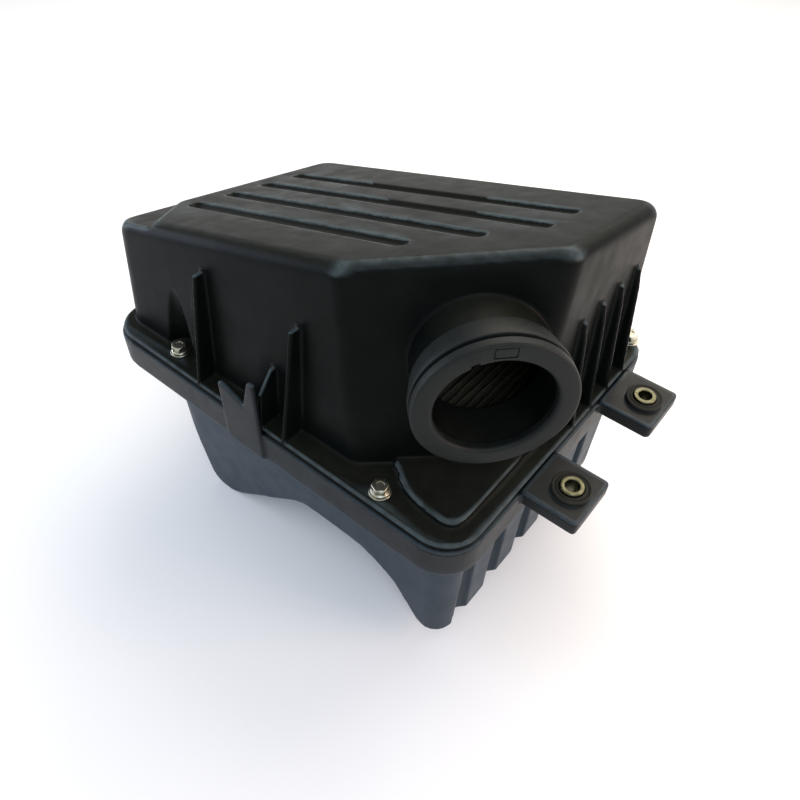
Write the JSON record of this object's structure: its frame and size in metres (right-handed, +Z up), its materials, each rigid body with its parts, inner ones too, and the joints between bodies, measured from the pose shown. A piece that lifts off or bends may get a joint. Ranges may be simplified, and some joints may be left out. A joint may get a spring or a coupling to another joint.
{
  "type": "air filter housing",
  "caption": "Moulded engine air filter housing: a wedge-shaped screwed cover with a round angled outlet over a stepped lower case holding a pleated panel filter.",
  "frame": {"origin": "centre of the housing's bounding box, at the level of its lowest face", "axes": "+Z up, square to the parting plane; +X along the front wall towards the outlet corner; +Y to the back"},
  "size_m": [0.291, 0.2054, 0.2327],
  "materials": {
    "cover_plastic": "black moulded polypropylene, satin grain",
    "case_plastic": "dark grey moulded polypropylene, satin grain",
    "collar_rubber": "moulded rubber, matte",
    "bush_rubber": "moulded rubber, matte",
    "zinc_steel": "zinc plated steel",
    "insert_brass": "turned brass",
    "seal_foam": "moulded polyurethane foam",
    "filter_paper": "resin treated pleated filter paper"
  },
  "bodies": {
    "case": {"lower_case": "case_plastic", "peg_bush": "bush_rubber", "thread_insert_1": "insert_brass", "thread_insert_2": "insert_brass", "thread_insert_3": "insert_brass", "thread_insert_4": "insert_brass", "ear_grommet_1": "bush_rubber", "ear_sleeve_1": "zinc_steel", "ear_grommet_2": "bush_rubber", "ear_sleeve_2": "zinc_steel"},
    "cover": {"upper_cover": "cover_plastic", "outlet_collar": "collar_rubber"},
    "filter": {"filter_seal": "seal_foam", "filter_media": "filter_paper"},
    "screw_1": {"cover_screw_1": "zinc_steel", "screw_washer_1": "zinc_steel"},
    "screw_2": {"cover_screw_2": "zinc_steel", "screw_washer_2": "zinc_steel"},
    "screw_3": {"cover_screw_3": "zinc_steel", "screw_washer_3": "zinc_steel"},
    "screw_4": {"cover_screw_4": "zinc_steel", "screw_washer_4": "zinc_steel"}
  },
  "joints": [
    {"name": "cover_lift", "type": "slide", "parent": "case", "child": "cover", "axis": [0, 0, 1], "range_m": [0, 0.12]},
    {"name": "filter_lift", "type": "slide", "parent": "case", "child": "filter", "axis": [0, 0, 1], "range_m": [0, 0.05]},
    {"name": "screw_1_out", "type": "slide", "parent": "cover", "child": "screw_1", "axis": [0, 0, 1], "range_m": [0, 0.013]},
    {"name": "screw_2_out", "type": "slide", "parent": "cover", "child": "screw_2", "axis": [0, 0, 1], "range_m": [0, 0.013]},
    {"name": "screw_3_out", "type": "slide", "parent": "cover", "child": "screw_3", "axis": [0, 0, 1], "range_m": [0, 0.013]},
    {"name": "screw_4_out", "type": "slide", "parent": "cover", "child": "screw_4", "axis": [0, 0, 1], "range_m": [0, 0.013]}
  ],
  "couplings": [
    {"joint": "filter_lift", "follows": "cover_lift", "ratio": 0.4}
  ]
}
